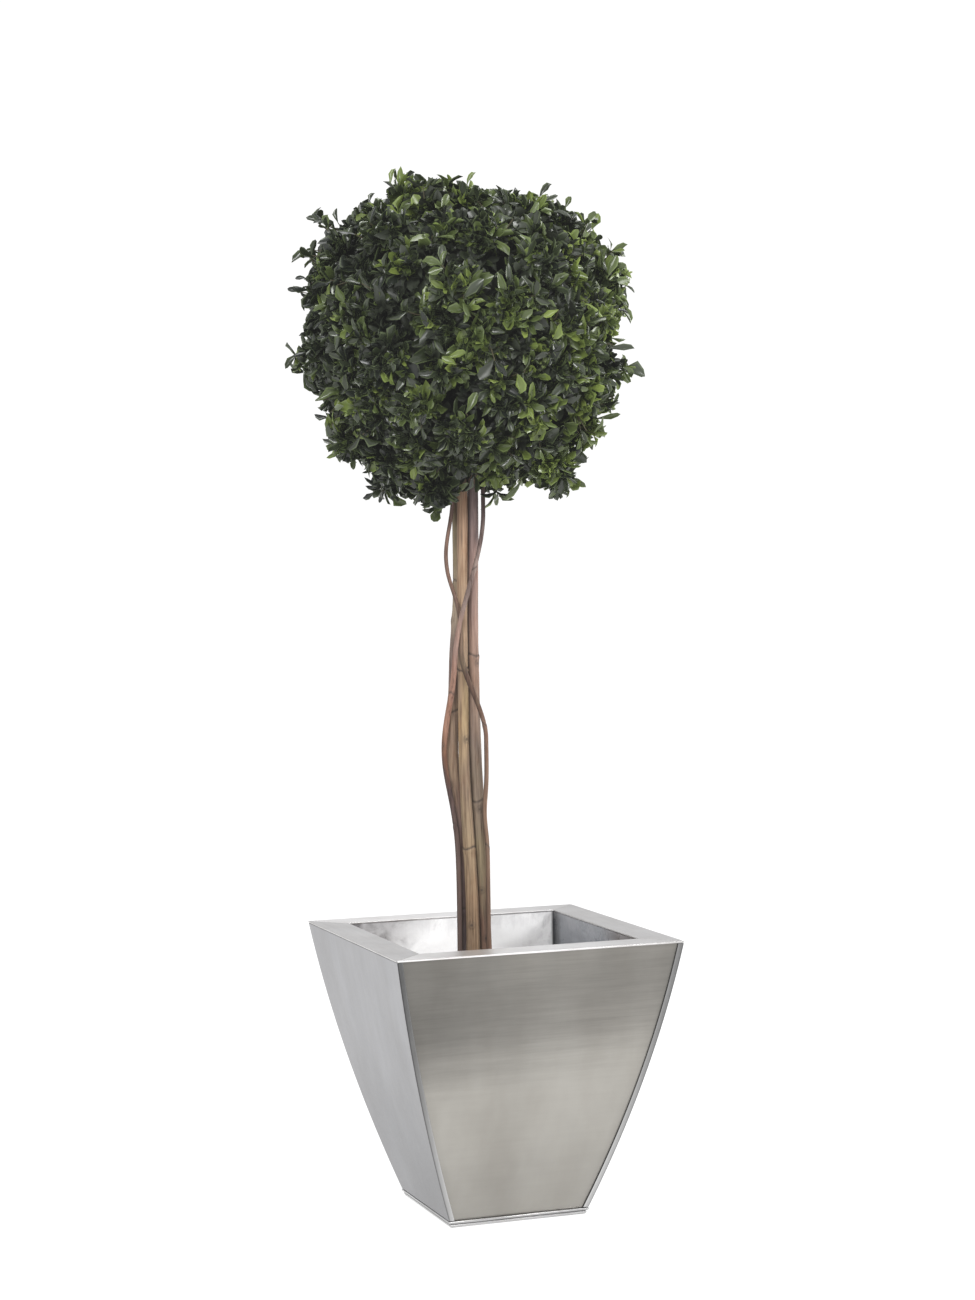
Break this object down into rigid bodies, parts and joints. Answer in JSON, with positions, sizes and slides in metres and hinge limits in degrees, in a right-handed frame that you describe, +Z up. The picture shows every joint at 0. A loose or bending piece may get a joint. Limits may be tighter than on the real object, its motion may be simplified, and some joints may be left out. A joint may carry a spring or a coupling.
{
  "type": "potted lollipop topiary",
  "caption": "Lollipop topiary: a clipped ball of small oval leaves on a bundle of slim wound stems, in a square tapered pot of brushed steel.",
  "frame": {"origin": "middle of the pot's flat underside", "axes": "+Z up, with the pot's front facing -Y and its right side +X"},
  "size_m": [0.4101, 0.4157, 1.2325],
  "materials": {
    "pot_face": "satin",
    "pot_side": "satin",
    "pot_rim": "satin",
    "pot_liner": "satin",
    "soil": "matte",
    "bark_tan": "matte",
    "bark_brown": "matte",
    "bark_mauve": "matte",
    "bark_dark": "matte",
    "foliage": "satin"
  },
  "bodies": {
    "root": {"pot_front_panel": "pot_face", "pot_back_panel": "pot_face", "pot_left_panel": "pot_side", "pot_right_panel": "pot_side", "pot_rim_front": "pot_rim", "pot_rim_right": "pot_rim", "pot_rim_back": "pot_rim", "pot_rim_left": "pot_rim", "pot_base_tray": "pot_side", "pot_liner": "pot_liner", "pot_soil": "soil", "stem_left": "bark_brown", "stem_centre": "bark_tan", "stem_right": "bark_mauve", "winding_stem_left": "bark_dark", "winding_stem_right": "bark_dark", "crown_foliage": "foliage"}
  },
  "joints": []
}
